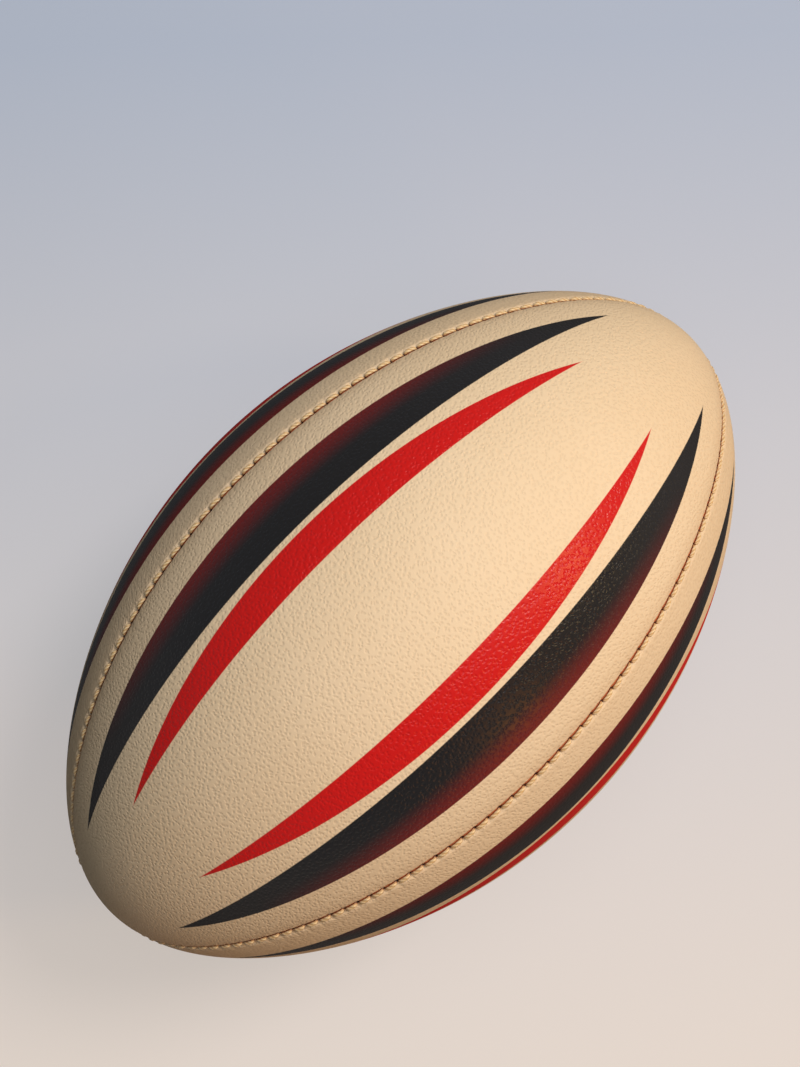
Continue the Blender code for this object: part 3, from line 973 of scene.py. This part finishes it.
def build_stitching():
    thread = waxed_thread()
    for seam, (turn, lie) in SEAMS.items():
        place_piece(stitch_row("stitches_" + seam, turn, lie), thread, "seam_thread_" + seam)
    for name, end in (("left", -1.0), ("right", 1.0)):
        place_piece(crossed_stitches("tip_stitches_" + name, end), thread, "end_knot_" + name)


def build_bladder_and_valve():
    butyl = moulded_rubber("blown_butyl_rubber", *BLADDER_RUBBER)
    boss_rubber = moulded_rubber("moulded_natural_rubber", *BOSS_RUBBER)
    plug_rubber = moulded_rubber("moulded_silicone_rubber", *PLUG_RUBBER)
    place_piece(bladder_shell(), butyl, "bladder")
    place_piece(valve_seat(), boss_rubber, "valve_seat")
    place_piece(valve_core(), plug_rubber, "valve_core", body="valve_core")


def seen_directly(tree):
    """1 for rays from the camera, off gloss and through glass, 0 for light that bounces."""
    light = add_node(tree, "ShaderNodeLightPath")
    seen = light.outputs["Is Camera Ray"]
    for ray in ("Is Glossy Ray", "Is Transmission Ray"):
        seen = add_node(
            tree, "ShaderNodeMath", {0: seen, 1: light.outputs[ray]}, operation="MAXIMUM"
        ).outputs[0]
    return seen


def build_floor(up):
    """Graduated studio paper under the ball, pale to the camera and dim to the light that bounces off it."""
    material, tree, shader = new_material("graduated_studio_paper")
    spot = add_node(tree, "ShaderNodeTexCoord").outputs["Object"]
    place = add_node(
        tree, "ShaderNodeVectorMath", {0: spot, 1: up}, operation="DOT_PRODUCT"
    ).outputs["Value"]
    share = add_node(
        tree,
        "ShaderNodeMapRange",
        {"Value": place, "From Min": PAPER_NEAR_PLACE, "From Max": PAPER_FAR_PLACE},
    ).outputs["Result"]
    paper = blend(tree, share, PAPER_NEAR, PAPER_FAR)
    seen = seen_directly(tree)
    lit = blend(tree, PAPER_GLOW, paper, "#000000")
    tree.links.new(blend(tree, seen, PAPER_IN_BOUNCE, lit), shader.inputs["Base Color"])
    tree.links.new(paper, shader.inputs["Emission Color"])
    glow = add_node(tree, "ShaderNodeMath", {0: seen, 1: PAPER_GLOW}, operation="MULTIPLY").outputs[0]
    tree.links.new(glow, shader.inputs["Emission Strength"])
    shader.inputs["Roughness"].default_value = PAPER_ROUGHNESS
    shader.inputs["Specular IOR Level"].default_value = PAPER_SPECULAR
    select_only(None)
    bpy.ops.mesh.primitive_plane_add(size=FLOOR_SIZE, location=(0.0, 0.0, -GIRTH_RADIUS))
    floor = bpy.context.object
    floor.name = "studio_floor"
    floor.data.materials.append(material)


def camera_matrix():
    """Axes and place of the camera, from the ball's centre in the picture and its turn to the view."""
    across, down = BALL_PIXEL
    ray = Vector((across - IMAGE_WIDTH / 2, IMAGE_HEIGHT / 2 - down, -FOCAL_PIXELS)).normalized()
    back = -ray
    right = Vector((0.0, 1.0, 0.0)).cross(back).normalized()
    up = back.cross(right)
    sight = Matrix((right, up, back)).transposed()
    axes = (sight @ BALL_TURN.to_matrix()).transposed()
    place = -(axes @ ray) * CAMERA_DISTANCE
    return Matrix.Translation(place) @ axes.to_4x4()


def build_camera():
    """Camera of the photograph; gives the picture's axes."""
    data = bpy.data.cameras.new("photo_camera")
    data.sensor_width = SENSOR_MM
    data.lens = SENSOR_MM * FOCAL_PIXELS / IMAGE_HEIGHT
    data.clip_start = NEAREST_SEEN
    camera = bpy.data.objects.new("photo_camera", data)
    bpy.context.scene.collection.objects.link(camera)
    camera.matrix_world = camera_matrix()
    bpy.context.scene.camera = camera
    return camera.matrix_world.to_3x3()


def build_lights(axes):
    """Soft lamps placed by the picture's axes."""
    for name, (direction, distance, size, watts, colour) in LAMPS.items():
        data = bpy.data.lights.new(name, "AREA")
        data.shape = "DISK"
        data.size = size
        data.energy = watts
        data.color = linear(colour)[:3]
        lamp = bpy.data.objects.new(name, data)
        bpy.context.scene.collection.objects.link(lamp)
        lamp.location = (axes @ Vector(direction)).normalized() * distance
        lamp.rotation_euler = (-lamp.location).to_track_quat("-Z", "Y").to_euler()


def build_room():
    """Dim, even room light behind a pale backdrop."""
    world = bpy.data.worlds.new("studio_room")
    bpy.context.scene.world = world
    world.use_nodes = True
    tree = world.node_tree
    seen = seen_directly(tree)
    glow = add_node(
        tree, "ShaderNodeMapRange", {"Value": seen, "To Min": ROOM_LEVEL, "To Max": 1.0}
    ).outputs["Result"]
    room = tree.nodes["Background"]
    tree.links.new(blend(tree, seen, ROOM_COLOUR, BACKDROP), room.inputs["Color"])
    tree.links.new(glow, room.inputs["Strength"])
    bpy.context.scene.view_settings.view_transform = "Standard"


build_panels()
build_stitching()
build_bladder_and_valve()
picture_axes = build_camera()
build_floor(picture_axes.col[1])
build_lights(picture_axes)
build_room()
